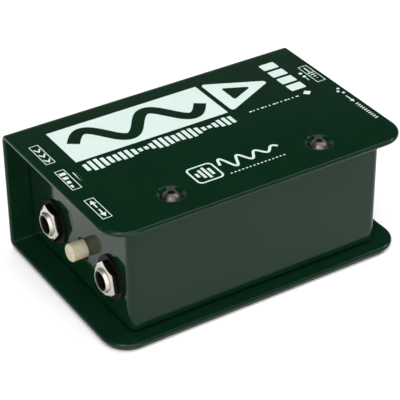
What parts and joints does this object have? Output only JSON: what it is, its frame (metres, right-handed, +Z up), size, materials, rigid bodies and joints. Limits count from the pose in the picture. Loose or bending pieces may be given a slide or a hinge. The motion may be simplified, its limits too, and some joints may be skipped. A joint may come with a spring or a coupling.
{
  "type": "direct injection box",
  "caption": "Passive direct injection box: bent steel shell over a folded chassis, jack input and link output, pad and ground-lift buttons, balanced output, transformer inside.",
  "frame": {"origin": "on the resting surface, under the middle of the outer shell", "axes": "+X along the length towards the three-pin output end, +Y towards the closed back wall, +Z up through the top plate"},
  "size_m": [0.127, 0.0826, 0.0522],
  "materials": {
    "green_paint": "glossy baked enamel",
    "pad_rubber": "matt textured rubber",
    "case_screw": "dark oxide, satin",
    "zinc_steel": "zinc plated, satin",
    "jack_nickel": "bright nickel plate",
    "washer_black": "black, satin",
    "black_moulding": "moulded, matt",
    "contact_brass": "tinned spring brass",
    "button_ivory": "ivory moulding, slightly glossy",
    "plunger_white": "moulded, matt",
    "spring_wire": "drawn wire",
    "output_metal": "satin nickel on die casting",
    "board_laminate": "glass laminate with green mask",
    "resistor_body": "lacquered",
    "capacitor_body": "dipped film case",
    "can_metal": "drawn magnetic shield, satin",
    "core_iron": "stacked laminations",
    "winding_copper": "enamelled copper wire"
  },
  "bodies": {
    "case": {"outer_shell": "green_paint", "inner_chassis": "green_paint", "no_slip_pad": "pad_rubber", "top_screws": "case_screw", "bottom_screws": "case_screw", "clinch_nuts": "zinc_steel", "input_jack_bushing": "jack_nickel", "input_jack_washer": "washer_black", "input_jack_nut": "jack_nickel", "input_jack_housing": "black_moulding", "input_jack_terminals": "contact_brass", "thru_jack_bushing": "jack_nickel", "thru_jack_washer": "washer_black", "thru_jack_nut": "jack_nickel", "thru_jack_housing": "black_moulding", "thru_jack_terminals": "contact_brass", "pad_switch_housing": "black_moulding", "pad_switch_terminals": "contact_brass", "pad_switch_spring": "spring_wire", "lift_switch_housing": "black_moulding", "lift_switch_terminals": "contact_brass", "lift_switch_spring": "spring_wire", "output_shell": "output_metal", "output_insert": "black_moulding", "output_contacts": "contact_brass", "output_screws": "case_screw", "output_nuts": "zinc_steel", "circuit_board": "board_laminate", "board_posts": "zinc_steel", "board_screws": "zinc_steel", "transformer_can": "can_metal", "transformer_base": "black_moulding", "transformer_core": "core_iron", "transformer_bobbin": "plunger_white", "primary_winding": "winding_copper", "secondary_winding": "winding_copper", "transformer_pins": "contact_brass", "transformer_screws": "zinc_steel", "resistors": "resistor_body", "film_capacitors": "capacitor_body"},
    "pad_button": {"pad_switch_button": "button_ivory", "pad_switch_plunger": "plunger_white", "pad_switch_blade": "contact_brass"},
    "lift_button": {"lift_switch_button": "button_ivory", "lift_switch_plunger": "plunger_white", "lift_switch_blade": "contact_brass"},
    "input_contact": {"input_jack_tip_spring": "contact_brass"},
    "thru_contact": {"thru_jack_tip_spring": "contact_brass"}
  },
  "joints": [
    {"name": "pad_button_slide", "type": "slide", "parent": "case", "child": "pad_button", "axis": [1, 0, 0], "range_m": [0, 0.0025], "stiffness_N_per_m": 300, "springref_m": -0.002, "deforming": ["pad_switch_spring"]},
    {"name": "lift_button_slide", "type": "slide", "parent": "case", "child": "lift_button", "axis": [-1, 0, 0], "range_m": [0, 0.0025], "stiffness_N_per_m": 300, "springref_m": -0.002, "deforming": ["lift_switch_spring"]},
    {"name": "input_contact_flex", "type": "hinge", "parent": "case", "child": "input_contact", "pos_m": [-0.04278, 0.0191, 0.02615], "axis": [0, -1, 0], "range_deg": [0, 5], "stiffness_Nm_per_rad": 0.6, "springref_deg": -4.58},
    {"name": "thru_contact_flex", "type": "hinge", "parent": "case", "child": "thru_contact", "pos_m": [-0.04278, -0.0229, 0.02615], "axis": [0, -1, 0], "range_deg": [0, 5], "stiffness_Nm_per_rad": 0.6, "springref_deg": -4.58}
  ]
}
